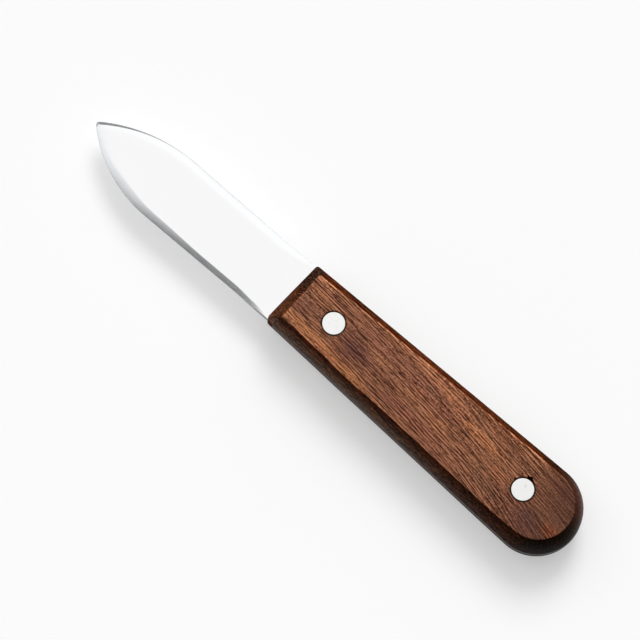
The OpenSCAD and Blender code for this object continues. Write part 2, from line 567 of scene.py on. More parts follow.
@dataclass(frozen=True)
class Spot:
    """Where a place on the handle lies, as wires on one bench, in millimetres.

    Attributes:
        aside: How far above or below the steel's middle it lies.
        inset: How far inside the straight side on +Y.
        flat: 1 on the flat faces of the scales.
        sides: 1 on the rest of their surface.
    """

    bench: Bench
    place: Wire
    x: Wire
    y: Wire
    z: Wire
    aside: Wire
    inset: Wire
    flat: Wire
    sides: Wire

    @classmethod
    def on(cls, bench: Bench, place: Wire, plan: "HandlePlan") -> "Spot":
        """The wires for a place on a handle with the given plan."""
        x, y, z = bench.parts(place)
        aside = abs(z - plan.middle_z)
        slope = plan.side_slope()
        inset = (x - plan.butt_centre) * math.sin(slope) - y * math.cos(slope) + plan.butt_radius
        flat = aside.step(*FLAT_FACE)
        return cls(bench, place, x, y, z, aside, inset, flat, 1.0 - flat)


@dataclass(frozen=True)
class FigureMark:
    """A soft patch in the figure of the wood, drawn out along the grain, in millimetres."""

    x: float
    y: float
    length: float
    width: float
    tint: Triple
    strength: float

    def mask(self, spot: Spot, streak: Wire, slope: float) -> Wire:
        """How strongly the mark shows at each place.

        Args:
            spot: The place.
            streak: The wood's streaks, which fray the mark's border.
            slope: How far the grain leans aside for each millimetre along.

        Returns:
            The mark's strength times a smooth step in the distance from its middle, measured in its
            own length and width.
        """
        along = spot.x - self.x
        across = (spot.y + along * slope - self.y) / self.width
        spread = (along / self.length).hypotenuse(across) + (streak - 0.5) * 1.2
        return spread.step(1.4, 0.3) * self.strength


@dataclass(frozen=True)
class Tone:
    """A tint on part of the handle, bounded by smooth steps in millimetres.

    Attributes:
        tint: What the wood's colour is multiplied by.
        zone: The part of the surface that it lies on.
        along: Steps along X.
        across: Steps along Y.
        aside: Steps in the distance from the steel's middle.
        inset: Steps in the distance inside the straight side on +Y.
    """

    tint: Triple
    zone: Zone = Zone.SIDES
    along: tuple[Pair, ...] = ()
    across: tuple[Pair, ...] = ()
    aside: tuple[Pair, ...] = ()
    inset: tuple[Pair, ...] = ()

    def mask(self, spot: Spot) -> Wire:
        """Product of the zone and of all the steps."""
        zone = {Zone.WHOLE: [], Zone.SIDES: [spot.sides], Zone.FLAT: [spot.flat]}[self.zone]
        fields = (spot.x, spot.y, spot.aside, spot.inset)
        spans = (self.along, self.across, self.aside, self.inset)
        pairs = zip(fields, spans, strict=True)
        first, *others = (*zone, *(wire.step(*span) for wire, group in pairs for span in group))
        return math.prod(others, start=first)


# Steps that several tones of the wood share.
BELLY_SIDE: Pair = (4.0, -4.0)
BEHIND_FRONT: Pair = (-11.4, -10.6)
FRONT_HALF: Pair = (75.0, 20.0)
ON_FRONT: Pair = (-11.4, -12.0)
NEAR_CREASE: Pair = (4.5, 7.6)


@dataclass(frozen=True)
class DarkWood(Finish):
    """Oiled dark wood: short dark pores, drawn-out figure, sides darker by their own colour and by
    painted shade.

    Attributes:
        plan: The handle's plan, for its middle height and its straight side.
        rivets: Places of the rivets along X, round whose heads the wood is darkened: a dark joint
            with painted shade of the gap.
        head_hole: Radius of the holes for the heads.
    """

    plan: "HandlePlan"
    rivets: tuple[float, ...]
    head_hole: float
    dark: Triple = (0.080, 0.028, 0.013)
    middle: Triple = (0.245, 0.094, 0.050)
    light: Triple = (0.500, 0.212, 0.110)
    plum: Triple = (0.76, 0.70, 0.88)
    pore: Triple = (0.020, 0.006, 0.003)
    # Round the heads: a dark joint with painted shade of the gap, and painted shade on the holes'
    # walls.
    head_ring_joint_and_shade_tint: Triple = (0.30, 0.26, 0.24)
    hole_wall_shade_tint: Triple = (0.14, 0.11, 0.10)
    grain_slope: float = 0.085
    grain_turn: float = 0.045
    grain_bend: float = 0.00075
    cut_from: Pair = (40.0, 7.0)
    fibre_scale: Triple = (0.17, 2.5, 2.5)
    fibre_width: float = 0.27
    marks: tuple[FigureMark, ...] = (
        FigureMark(1.5, -6.9, 17.0, 1.5, (1.50, 1.46, 1.22), 1.0),
        FigureMark(8.5, -1.2, 6.5, 3.2, (0.60, 0.58, 0.78), 0.9),
        FigureMark(-7.8, -1.2, 5.0, 2.6, (0.75, 0.77, 0.90), 0.8),
        FigureMark(7.8, 0.0, 3.4, 6.0, (0.76, 0.76, 0.82), 0.7),
        FigureMark(22.5, -6.6, 6.0, 1.8, (0.76, 0.74, 0.78), 0.8),
        FigureMark(20.0, -0.6, 5.0, 2.4, (0.76, 0.76, 0.82), 0.7),
        FigureMark(7.0, -5.7, 4.5, 1.5, (0.74, 0.70, 0.72), 0.8),
        FigureMark(38.5, 5.0, 5.0, 1.3, (1.26, 1.22, 1.18), 0.7),
        FigureMark(62.0, 9.2, 12.0, 1.6, (1.24, 1.22, 1.18), 0.7),
        FigureMark(38.0, -8.3, 18.0, 1.4, (0.70, 0.68, 0.72), 0.8),
        FigureMark(35.5, 1.8, 5.0, 2.4, (1.25, 1.22, 1.18), 0.7),
        FigureMark(50.5, 7.8, 5.0, 1.5, (1.32, 1.28, 1.20), 0.8),
        FigureMark(54.5, -3.4, 2.6, 1.5, (0.76, 0.80, 0.85), 0.7),
        FigureMark(-9.5, 5.5, 5.0, 2.5, (1.36, 1.34, 1.26), 0.8),
        FigureMark(33.0, 6.6, 13.0, 1.6, (1.35, 1.28, 1.20), 0.8),
        FigureMark(50.0, 3.0, 9.0, 1.5, (1.40, 1.32, 1.10), 0.9),
        FigureMark(60.0, -1.5, 3.5, 1.8, (1.30, 1.20, 1.05), 0.8),
        FigureMark(38.0, -2.2, 5.0, 1.7, (1.30, 1.25, 1.15), 0.8),
        FigureMark(28.0, 0.7, 3.2, 2.2, (1.30, 1.24, 1.16), 0.7),
        FigureMark(31.5, 3.8, 3.0, 1.2, (0.76, 0.84, 0.90), 0.6),
        FigureMark(34.0, -6.5, 11.0, 1.6, (1.00, 0.90, 0.97), 0.8),
        FigureMark(59.0, -6.0, 5.5, 2.0, (0.75, 0.84, 0.88), 0.8),
        FigureMark(72.5, -5.0, 3.5, 3.0, (0.78, 0.84, 1.00), 0.8),
        FigureMark(80.3, -3.6, 3.0, 2.4, (1.50, 1.12, 0.86), 0.9),
    )
    tones: tuple[Tone, ...] = (
        # All the sides darker, partly by the wood's own colour and partly by painted shade; then
        # painted shade on the belly side, which lies away from the light.
        Tone((0.33, 0.25, 0.20)),
        Tone((0.66, 0.66, 0.68), along=((0.0, 84.0),), across=((6.0, -6.0),)),
        # Painted light on the straight side's upper part, which faces the light.
        Tone((1.07, 0.765, 0.47), across=((-2.0, 4.0),), aside=((2.0, 5.5),)),
        # Painted shade on the belly side under the crease.
        Tone((0.72, 0.68, 0.46), across=(BELLY_SIDE,), aside=(NEAR_CREASE,)),
        # Painted shade and painted light on the front's two halves, and a painted highlight on its
        # lower corner.
        Tone((0.45, 0.94, 2.05), along=(ON_FRONT,), across=((-1.0, 4.5),)),
        Tone((1.22, 1.28, 1.50), along=(ON_FRONT,), across=((4.5, -1.0),)),
        Tone((1.7, 2.4, 2.8), along=((-12.2, -13.2),), across=((-8.2, -9.6),)),
        # The belly side again, fading towards the butt: a shift of hue, painted shade under its
        # crease, and a painted shadow line just below the crease.
        Tone((1.0, 1.18, 0.70), along=(BEHIND_FRONT, FRONT_HALF), across=(BELLY_SIDE,)),
        Tone(
            (1.0, 0.58, 0.72),
            along=(BEHIND_FRONT, FRONT_HALF),
            across=(BELLY_SIDE,),
            aside=(NEAR_CREASE,),
        ),
        Tone(
            (0.66, 0.62, 0.52),
            along=(BEHIND_FRONT, (64.0, 50.0)),
            across=(BELLY_SIDE,),
            aside=((6.4, 7.7),),
        ),
        # Painted shade on the straight side before the butt, and on the butt's rim, which faces away
        # from the light.
        Tone((0.60, 0.80, 0.90), along=((60.0, 70.0), (80.0, 74.0)), across=((0.0, 6.0),)),
        Tone((0.21, 0.34, 0.36), along=((70.0, 80.0),), across=((10.0, -1.0),)),
        # A painted highlight along the border of the flat face on the lit straight side.
        Tone(
            (1.95, 1.95, 1.85),
            Zone.FLAT,
            along=((76.0, 62.0),),
            across=((2.0, 4.0),),
            inset=((3.0, 2.75),),
        ),
        # The flat face at the butt, and the whole rear of the handle.
        Tone((0.53, 0.54, 0.61), Zone.FLAT, along=((60.0, 80.0),)),
        Tone((0.87, 0.87, 0.87), Zone.WHOLE, along=((30.0, 62.0),)),
    )

    def _grain(self, spot: Spot) -> tuple[Wire, Wire]:
        """The place in the run of the grain, and the place one fibre beside it.

        Args:
            spot: The place on the handle.

        Returns:
            Both, with the grain's slant, its bend near the butt and its wander taken out.
        """
        x = spot.x
        wander = spot.bench.noise(spot.place, (0.03, 0.06, 0.06), 0.0) - 0.5
        slant = x * self.grain_turn + x * x * self.grain_bend
        slant = slant + x.step(44.0, 84.0) * spot.y.step(1.0, -9.0) * 2.2
        along = x + self.cut_from[0]
        across = spot.y + slant + wander * 1.2 + self.cut_from[1]
        down = spot.z + wander * 0.7
        grain = spot.bench.joined(along, across, down)
        return grain, spot.bench.joined(along, across + self.fibre_width, down)

    def _figure(self, spot: Spot, grain: Wire, fibre: Wire, calm: Wire) -> Wire:
        """The wood's colour without its pores.

        Args:
            spot: The place on the handle.
            grain: The place in the grain.
            fibre: The fibres' relief around 0.
            calm: How lively the figure is, 1 or less.

        Returns:
            Streaks, bands, fibres and speckle through a ramp of three browns, with plum drifts and
            the marks over it.
        """
        bench = spot.bench
        streak = bench.noise(grain, (0.030, 0.55, 0.55), 1.0)
        band = bench.noise(grain, (0.014, 0.16, 0.16), 1.0)
        patch = bench.noise(grain, (0.06, 0.30, 0.30), 1.0).step(0.35, 0.65)
        speckle = bench.noise(spot.place, (1.6, 3.0, 3.0), 1.0)
        tone = (streak - 0.5) * 0.75 + (band - 0.5) * 0.3
        tone = (tone + fibre * (patch * 1.5 + 1.6) + (speckle - 0.5) * 1.9) * calm + 0.575
        stops = [(0.10, self.dark), (0.50, self.middle), (0.92, self.light)]
        colour = bench.node("ShaderNodeValToRGB", {"stops": stops}, {0: tone})
        drift = bench.noise(grain, (0.03, 0.22, 0.22), 1.0).step(0.50, 0.66) * 0.5
        marks = [(mark.mask(spot, streak, self.grain_slope), mark.tint) for mark in self.marks]
        return bench.tinted(colour, [(drift, self.plum), *marks])

    def _pores(self, spot: Spot, grain: Wire) -> Wire:
        """The pores and growth lines, 0 to 1.

        Args:
            spot: The place on the handle.
            grain: The place in the grain.

        Returns:
            The greatest of long pores in patches, short ones, fine ones, and growth lines that are
            strongest beside the front rivet.
        """
        bench = spot.bench
        gate = bench.noise(grain, (0.08, 0.5, 0.5), 1.0).step(0.25, 0.60)
        pores = bench.cells(grain, (0.11, 2.2, 2.2)).step(0.28, 0.18) * gate
        pores = pores.most(bench.cells(grain, (0.20, 2.8, 2.8)).step(0.28, 0.18) * 0.95)
        pores = pores.most(bench.cells(grain, (0.34, 3.4, 3.4)).step(0.31, 0.18) * 0.85)
        growth = bench.noise(grain, (0.03, 2.1, 2.1), 1.0).step(0.575, 0.63)
        return pores.most(growth * (spot.x.step(16.0, -4.0) * spot.y.step(-2.0, 3.0) * 0.6 + 0.2))

    def _round_rivets(self, spot: Spot) -> list[tuple[Wire, Triple]]:
        """Masks and tints of the dark rings round the heads, a dark joint with painted shade of the
        gap, and of painted shade on the walls of their holes.
        """
        tones = []
        for rivet in self.rivets:
            from_axis = (spot.x - rivet).hypotenuse(spot.y)
            ring = from_axis.step(self.head_hole + 0.45, self.head_hole + 0.02) * 0.8
            hole_wall_shade = from_axis.step(4.9, 4.4) * spot.aside.step(7.985, 7.90)
            tones += [(ring, self.head_ring_joint_and_shade_tint), (hole_wall_shade, self.hole_wall_shade_tint)]
        return tones

    @staticmethod
    def _grit(spot: Spot) -> Wire:
        """Fine speckle round 1, stronger on the belly side."""
        grit = spot.bench.noise(spot.place, (1.6, 4.6, 4.6), 1.0) - 0.5
        return (grit * (1.6 + spot.y.step(4.0, -2.0) * 2.6) + 1.0).most(0.2)

    @staticmethod
    def _sheen(spot: Spot) -> Wire:
        """Oiled sheen of the sides: more low down, on the belly side and round the butt."""
        belly_side = spot.y.step(2.0, -6.0) * (0.10 + 0.20 * spot.x.step(75.0, 15.0))
        butt_side = spot.x.step(70.0, 79.0) * (0.04 + 0.66 * spot.y.step(-4.0, 9.0))
        sheen = 0.02 + (belly_side + butt_side) * (spot.aside.step(7.8, 2.8) * 0.75 + 0.25)
        return sheen.least(spot.x.step(-14.5, -11.0) * 0.5 + 0.06)

    def sockets(self, bench: Bench, place: Wire) -> dict[str, object]:
        """Figure, pores and tones, with an oiled sheen on the sides; see Finish.sockets."""
        spot = Spot.on(bench, place, self.plan)
        grain, beside = self._grain(spot)
        fibre = bench.noise(grain, self.fibre_scale, 1.0)
        fibre = fibre - bench.noise(beside, self.fibre_scale, 1.0)
        calm = 1.0 - spot.x.step(62.0, 76.0) * 0.5
        pores = self._pores(spot, grain) * calm
        colour = bench.mixed(pores, self._figure(spot, grain, fibre, calm), self.pore)
        grit = self._grit(spot)
        tones = [(tone.mask(spot), tone.tint) for tone in self.tones]
        tones += [(spot.sides, bench.grey(grit)), *self._round_rivets(spot)]
        return {
            "Base Color": bench.tinted(colour, tones),
            "Roughness": 0.50 + spot.sides * 0.04 + fibre * 0.2 + pores * 0.2,
            "Specular IOR Level": 0.0,
            "Coat Weight": spot.flat * 0.10 + spot.sides * (self._sheen(spot) * grit),
            "Coat Roughness": 0.45,
            "Normal": bench.bump(fibre * 0.35 - pores, 0.35, 0.00006),
        }


@dataclass(frozen=True)
class BrushedSteel(Finish):
    """Satin steel, brushed along the blade, with coarser marks on the ground edges.

    The tang's edge has a painted dark reflection, near black, and the upright edges in front of it a
    painted dark grey reflection.
    """

    plan: "HandlePlan"
    colour: Triple = (0.915, 0.915, 0.92)
    ground_colour: Triple = (0.915, 0.930, 0.945)
    # Painted dark reflections for the tang's edge and for the upright edges before it.
    painted_tang_reflection_colour: Triple = (0.035, 0.030, 0.025)
    painted_edge_reflection_colour: Triple = (0.10, 0.10, 0.105)
    roughness: float = 0.21

    def sockets(self, bench: Bench, place: Wire) -> dict[str, object]:
        """Brushing on the flat, scratches on the grinds, and the painted dark reflections; see
        Finish.sockets.
        """
        x, y, z = bench.parts(place)
        half = self.plan.steel_thickness / 2.0
        front = self.plan.front_x
        ground = abs(z - self.plan.middle_z).step(half - 0.01, half - 0.30)
        brushing = bench.noise(place, (0.12, 11.0, 11.0), 3.0, 0.65)
        scratches = bench.noise(place, (0.9, 7.0, 7.0), 3.0, 0.7)
        cloud = bench.noise(place, (0.06, 0.14, 0.14), 2.0)
        # Painted dark reflections: on the tang's edge inside the handle, and on the belly side's
        # upright edges before it.
        tang_dark_reflection = x.step(front - 0.1, front + 0.3)
        upright = bench.facing_up().step(0.75, 0.35)
        edge_dark_reflection = x.step(front - 13.0, front - 3.0) * y.step(2.0, -2.0) * upright
        colour = bench.mixed(ground, self.colour, self.ground_colour)
        colour = bench.tinted(colour, [(1.0, bench.grey(0.97 + (brushing - 0.5) * 0.08))])
        colour = bench.mixed(edge_dark_reflection, colour, self.painted_edge_reflection_colour)
        rough = self.roughness + (brushing - 0.5) * 0.12 + (cloud - 0.5) * 0.08
        height = (brushing - 0.5) + ground * (scratches - 0.5) * 1.5
        return {
            "Base Color": bench.mixed(tang_dark_reflection, colour, self.painted_tang_reflection_colour),
            "Metallic": 1.0,
            "Roughness": rough + ground * (scratches - 0.35) * 0.25 + tang_dark_reflection * 0.25,
            "Normal": bench.bump(height, 0.18, 0.00003),
        }


@dataclass(frozen=True)
class SandedRivet(Finish):
    """Pale rivet metal, sanded flush with the wood, with a small smudge on the rear head."""

    colour: Triple = (0.945, 0.945, 0.93)
    roughness: float = 0.33
    smudge: Pair = (66.9, 1.1)

    def sockets(self, bench: Bench, place: Wire) -> dict[str, object]:
        """Mottled, rubbed grey, a little darker at the rear; see Finish.sockets."""
        x, y, _ = bench.parts(place)
        rub = bench.noise(place, (1.1, 6.0, 6.0), 3.0, 0.6)
        mottle = bench.noise(place, (0.9, 0.9, 0.9), 3.0, 0.6)
        smudge = (x - self.smudge[0]).hypotenuse(y - self.smudge[1]) + (mottle - 0.5) * 1.2
        grey = 0.975 - x.step(30.0, 60.0) * 0.03 + (mottle - 0.5) * 0.24 + (rub - 0.5) * 0.10
        grey = grey - smudge.step(0.75, 0.2) * 0.10
        return {
            "Base Color": bench.tinted(self.colour, [(1.0, bench.grey(grey))]),
            "Metallic": 1.0,
            "Roughness": self.roughness + (mottle - 0.5) * 0.25,
            "Normal": bench.bump(rub * 0.6 + mottle, 0.2, 0.00004),
        }


@dataclass(frozen=True)
class PaleFloor:
    """Pale matt floor. It is lifted a little for rays from the camera and from shiny surfaces."""

    colour: Triple = (0.60, 0.60, 0.60)
    lift: float = 0.42

    def material(self, name: str) -> bpy.types.Material:
        """The finish of the floor."""
        bench, material = Bench.for_material(name)
        seen = bench.node("ShaderNodeLightPath", output="Is Camera Ray")
        for ray in ("Is Glossy Ray", "Is Transmission Ray"):
            seen = seen.most(bench.node("ShaderNodeLightPath", output=ray))
        matt = bench.node("ShaderNodeBsdfDiffuse", sockets={"Color": (*self.colour, 1.0)})
        lifted = bench.node("ShaderNodeEmission", sockets={"Strength": seen * self.lift})
        both = bench.node("ShaderNodeAddShader", sockets={0: matt, 1: lifted})
        bench.node("ShaderNodeOutputMaterial", sockets={"Surface": both})
        return material


# The knife


@dataclass
class HandlePlan:
    """The handle's plan, which the scales and the tang share, in millimetres."""

    front_x: float = -15.0
    front_width: float = 20.1
    butt_centre: float = 72.5
    butt_radius: float = 12.5
    middle_z: float = 8.0
    steel_thickness: float = 2.0
    front_skew: float = 2.8

    def side_slope(self) -> float:
        """Angle between each side and the middle line, in radians."""
        along = self.butt_centre - self.front_x
        half = self.front_width / 2.0
        return math.asin(self.butt_radius / math.hypot(along, half)) - math.atan2(half, along)

    def side_depth(self, x: Grid, y: Grid) -> Grid:
        """Depth inside the straight sides and the round butt.

        Args:
            x: Places along the knife.
            y: Places across it.

        Returns:
            The butt's radius less the distance from its centre, square to the side in front of
            where the side touches the butt's circle, and straight from the centre behind it.
        """
        slope = self.side_slope()
        along = x - self.butt_centre
        aside = np.abs(y)
        flank = self.butt_radius + math.sin(slope) * along - math.cos(slope) * aside
        behind = math.cos(slope) * along + math.sin(slope) * aside > 0.0
        return np.where(behind, self.butt_radius - np.hypot(along, y), flank)

    def front_depth(self, x: Grid, y: Grid) -> Grid:
        """Depth behind the skewed front: its normal times the distance from its middle."""
        skew = math.radians(self.front_skew)
        return math.cos(skew) * (x - self.front_x) - math.sin(skew) * y


@dataclass
class HandleScale:
    """One wooden scale, flat on its outer face, with rounded sides, butt and front.

    The draw-ins are how far the flat face starts inside the steel's outline. Hand sanding has left
    a share of them on each side and at the front.
    """

    plan: HandlePlan
    face: Face
    rivets: tuple[float, ...]
    thickness: float = 7.0
    side_draw_in: float = 2.7
    front_draw_in: float = 3.2
    straight_side_share: float = 0.905
    belly_side_share: float = 0.815
    front_share: float = 1.085
    worn_corner: float = 1.3
    crisp_corner: float = 0.5
    face_corner: float = 0.55
    skew_blend: float = 0.15
    front_flare: float = 0.08
    full_place: float = 12.0
    full_length: float = 7.0
    fullness: float = 0.13
    crease: float = 0.22
    steel_break: float = 0.07
    head_hole: float = 3.325
    head_depth: float = 1.8
    sleeve_hole: float = 2.1

    def _sanding(self, x: Grid, y: Grid) -> Grid:
        """How much less the sides draw in than the butt, as a share: the hand-sanded difference.

        Args:
            x: Places along the knife.
            y: Places across it.

        Returns:
            A share that runs smoothly along each side, with one fuller place on the belly side, and
            is 1 round the butt.
        """
        full = np.exp(-(((x - self.full_place) / self.full_length) ** 2))
        upper = self.straight_side_share + self.front_flare * (1.0 - ease(-14.0, 4.0, x))
        lower = self.belly_side_share - self.fullness * full
        share = lower + (upper - lower) * ease(-2.0, 2.0, y)
        return share + (1.0 - share) * ease(62.0, 76.0, x)

    def _depth(self, height: Grid) -> Callable[[Grid, Grid], Grid]:
        """The depth inside the scale at each height above the steel.

        Args:
            height: Height of each row above the steel.

        Returns:
            A function of X and Y. It is the least of two rounded corners: the upright one at the
            steel's outline, and the one between the drawn-in side and the drawn-in front.
        """
        plan = self.plan
        side_in = drawn_in(arc_through(self.thickness, self.side_draw_in), height)
        front_in = drawn_in(arc_through(self.thickness, self.front_draw_in), height)
        front_in = front_in * self.front_share
        skew_reach = plan.front_width / 2.0 * math.tan(math.radians(plan.front_skew))
        foremost = plan.front_x - skew_reach

        def depth(x: Grid, y: Grid) -> Grid:
            """Depth at the places, for the heights given above."""
            side = plan.side_depth(x, y)
            front = soft_least(plan.front_depth(x, y), x - foremost - front_in, self.skew_blend)
            radius = np.where(y > 0.0, self.crisp_corner, self.worn_corner)
            upright = rounded_least(side, front, radius)
            drawn = rounded_least(side - side_in * self._sanding(x, y), front, self.face_corner)
            return np.minimum(upright, drawn)

        return depth

    def _rays(self) -> Rays:
        """Rays from the middle line, close together at the front's corners."""
        half = spaced((90.0, 121.0, 9), (121.0, 144.0, 44), (144.0, 180.0, 16))
        places = np.linspace(self.plan.front_x + 10.0, self.plan.butt_centre, 84)
        return Rays.around(front_fan(half), places, np.linspace(270.0, 450.0, 61))

    def _raised(self, height: Grid | float) -> Grid | float:
        """Z of a height above the steel, counted away from the knife's middle."""
        sign = self.face.value
        return self.plan.middle_z + sign * self.plan.steel_thickness / 2.0 + sign * height

    def points(self) -> Grid:
        """The scale's surface.

        Each row is a height above the steel, a depth inside the outline at that height, and a
        share of the way out from the middle line. The rows go out over the face on the steel, round
        its broken edge, up the drawn-in side, round the crease and in over the flat face.

        Returns:
            Rows by rays by XYZ.
        """
        rays = self._rays()
        around = np.linspace(0.0, 2.0 * math.pi, rays.start.size, endpoint=False)
        wear = 0.10 * np.sin(5.0 * around + 1.0) * np.sin(17.0 * around)
        crease = self.crease * (1.0 + (wear + 0.05 * np.sin(31.0 * around)))
        edge = self.steel_break
        quarter = np.linspace(0.0, math.pi / 2.0, 4)[:, None]
        turn = np.linspace(0.0, math.pi / 2.0, 8)[:, None]
        rise = (1.0 - np.cos(np.linspace(0.0, math.pi, 20)[1:-1, None])) / 2.0
        upper = self.thickness - crease
        inward = column(0.994, 0.97, 0.90, 0.75, 0.55, 0.35, 0.17, 0.0)
        outward = column(0.0, 0.4, 0.8, 0.96, 0.995)
        every_ray = np.ones_like(around)
        parts = (
            (0.0, edge, outward),
            (edge * (1.0 - np.cos(quarter)), edge * (1.0 - np.sin(quarter)), 1.0),
            (edge + rise * (upper - edge), 0.0, 1.0),
            (self.thickness - crease * (1.0 - np.sin(turn)), crease * (1.0 - np.cos(turn)), 1.0),
            (self.thickness, crease, inward),
        )
        rows = [np.broadcast_arrays(*part, every_ray)[:3] for part in parts]
        height, depth, share = (np.concatenate(group) for group in zip(*rows, strict=True))
        x, y = rays.at(rays.crossing(self._depth(height), depth) * share)
        return np.stack((x, y, self._raised(height)), axis=-1)

    def _hole(self, centre: float) -> bpy.types.Mesh:
        """Cutter for one stepped hole, eased at the flat face."""
        outer = self.thickness
        profile = np.array(
            [
                (0.0, -0.5),
                (self.sleeve_hole, -0.5),
                (self.sleeve_hole, outer - self.head_depth),
                (self.head_hole, outer - self.head_depth),
                (self.head_hole, outer - 0.10),
                (self.head_hole + 0.03, outer - 0.04),
                (self.head_hole + 0.09, outer + 0.01),
                (self.head_hole + 0.12, outer + 0.5),
                (0.0, outer + 0.5),
            ]
        )
        profile[:, 1] = self._raised(profile[:, 1])
        return closed_mesh("hole", lathed_points(profile, (centre, 0.0), 96))

    def _chip(self, x: float, y: float, size: Triple) -> bpy.types.Mesh:
        """Cutter for a small tear-out in the flat face: a ball of the given half sizes, ragged."""
        turn = np.linspace(0.0, math.pi, 13)
        ball = lathed_points(np.stack((np.sin(turn), np.cos(turn)), axis=-1), (0.0, 0.0), 28)
        ragged = 1.0 + 0.16 * np.sin(5.0 * np.arctan2(ball[..., 1], ball[..., 0]) + 0.7)
        ball[..., :2] *= ragged[..., None]
        return closed_mesh("chip", ball * size + (x, y, self._raised(self.thickness)))

    def build(self, finish: bpy.types.Material) -> bpy.types.Object:
        """Makes the scale with its holes and, on top, the tear-out beside the rear rivet."""
        node = f"{self.face.name.lower()}_scale"
        piece = add_piece(f"wood_{node}", closed_mesh(node, self.points()))
        cutters = [self._hole(centre) for centre in self.rivets]
        if self.face is Face.TOP:
            rear = max(self.rivets)
            cutters.append(self._chip(rear - 0.42, 3.40, (1.05, 0.74, 0.60)))
            cutters.append(self._chip(rear - 3.40, 0.75, (0.33, 0.36, 0.35)))
        carve(piece, cutters)
        shade(piece, 38.0)
        dress(piece, node, finish)
        return piece


@dataclass
class GroundEdge:
    """One edge of the blade in its own frame: along it to the heel, and depth into the steel."""

    side: int
    reach: float
    belly_x: float = -58.0
    front_x: float = -15.0
    heel_width: float = 19.4
    sharp_x: float = -85.58
    grind_width: float = 2.1
    grind_meeting: float = 2.4
    run_out_length: float = 13.5

    def slope(self) -> float:
        """Angle of the straight stretch to the middle line, in radians."""
        return math.atan2(self.reach - self.heel_width / 2.0, self.front_x - self.belly_x)

    def length(self) -> float:
        """Length of the straight stretch."""
        return math.hypot(self.front_x - self.belly_x, self.reach - self.heel_width / 2.0)

    def arc_radius(self, depth: float, x: float) -> float:
        """Radius of the arc that starts at a depth and ends at a place on the middle line."""
        slope = self.slope()
        to_end = x - self.belly_x
        along = to_end * math.cos(slope) + self.reach * math.sin(slope)
        aside = self.reach * math.cos(slope) - to_end * math.sin(slope) - depth
        return arc_through(along, aside)

    def local(self, x: Grid, y: Grid) -> tuple[Grid, Grid]:
        """Places in the edge's own frame: a turn by its slope about the start of its curve."""
        slope = self.slope()
        along = x - self.belly_x
        aside = self.reach - self.side * y
        return (
            math.cos(slope) * along + math.sin(slope) * aside,
            math.cos(slope) * aside - math.sin(slope) * along,
        )

    def depth(self, x: Grid, y: Grid) -> Grid:
        """Depth inside the edge: straight behind the curve's start, and to its arc before it."""
        along, inside = self.local(x, y)
        radius = self.arc_radius(0.0, self.sharp_x)
        return np.where(along < 0.0, radius - np.hypot(along, inside - radius), inside)

    def ground(self, x: Grid, y: Grid) -> Grid:
        """Depth inside the grind, which is grind_width at its crest.

        Args:
            x: Places along the knife.
            y: Places across it.

        Returns:
            The least of the depth along the straight, the depth inside the point's arc, and, at the
            heel, the depth inside an arc that curves out of the steel, taken from behind it.
        """
        along, inside = self.local(x, y)
        width = self.grind_width
        inner = self.arc_radius(width, self.sharp_x + self.grind_meeting)
        point = width + inner - np.hypot(along, inside - width - inner)
        straight = np.where(along < 0.0, point, inside)
        outer = arc_through(self.run_out_length, width)
        start = self.length() - self.run_out_length
        run_out = np.hypot(along - start, inside - width + outer) - outer + width
        return np.where(along > start, run_out, straight)


